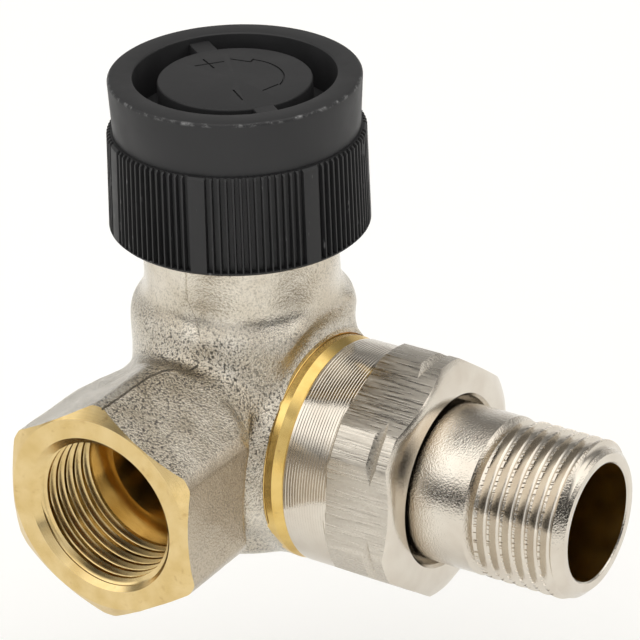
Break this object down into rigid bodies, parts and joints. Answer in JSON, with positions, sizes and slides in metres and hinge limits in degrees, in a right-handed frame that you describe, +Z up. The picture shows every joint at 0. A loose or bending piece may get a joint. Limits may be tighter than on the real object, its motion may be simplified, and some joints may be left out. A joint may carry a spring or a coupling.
{
  "type": "radiator valve",
  "caption": "Angled radiator valve: forged body with hexagon threaded inlet, knurled cap on the spindle, and union nut with a threaded tailpiece at the outlet.",
  "frame": {"origin": "start of the inlet thread, on its axis", "axes": "-Y leaves the inlet, +X leaves the outlet along the tailpiece, +Z runs up the spindle"},
  "size_m": [0.0697, 0.0507, 0.0666],
  "materials": {
    "nickel_forged": "nickel plated, blasted",
    "nickel_turned": "nickel plated, turned",
    "brass": "turned",
    "black_plastic": "moulded, matte",
    "stainless": "ground",
    "spring_steel": "drawn wire",
    "seal_rubber": "moulded",
    "white_plastic": "turned"
  },
  "bodies": {
    "valve": {"valve_body": "nickel_forged", "insert_housing": "brass", "insert_o_ring": "seal_rubber", "guide_bush": "brass", "gland_nut": "brass", "gland_o_ring": "seal_rubber", "gland_washer": "stainless", "pin_o_ring_lower": "seal_rubber", "gland_bush": "white_plastic", "pin_o_ring_upper": "seal_rubber", "return_spring": "spring_steel"},
    "spindle": {"actuating_pin": "stainless", "valve_stem": "stainless", "spring_retainer": "stainless", "retaining_clip": "spring_steel", "disc_holder": "brass", "disc_seal": "seal_rubber", "disc_screw": "brass"},
    "cap": {"protection_cap": "black_plastic"},
    "tail": {"tailpiece": "nickel_turned", "tailpiece_o_ring": "seal_rubber"},
    "nut": {"union_nut": "nickel_turned"}
  },
  "joints": [
    {"name": "spindle_lift", "type": "slide", "parent": "valve", "child": "spindle", "axis": [0, 0, 1], "range_m": [-0.0025, 0], "deforming": ["return_spring"]},
    {"name": "cap_turn", "type": "hinge", "parent": "spindle", "child": "cap", "pos_m": [0, 0.0332, 0.04], "axis": [0, 0, 1], "range_deg": [-599, 0]},
    {"name": "tailpiece_draw", "type": "slide", "parent": "valve", "child": "tail", "axis": [1, 0, 0], "range_m": [0, 0.0091]},
    {"name": "union_nut_turn", "type": "hinge", "parent": "tail", "child": "nut", "pos_m": [0.023, 0.0332, -0.0027], "axis": [1, 0, 0], "range_deg": [0, 1800]}
  ],
  "couplings": [
    {"joint": "spindle_lift", "follows": "cap_turn", "m_per_rad": 0.00023873},
    {"joint": "tailpiece_draw", "follows": "union_nut_turn", "m_per_rad": 0.00028871}
  ]
}
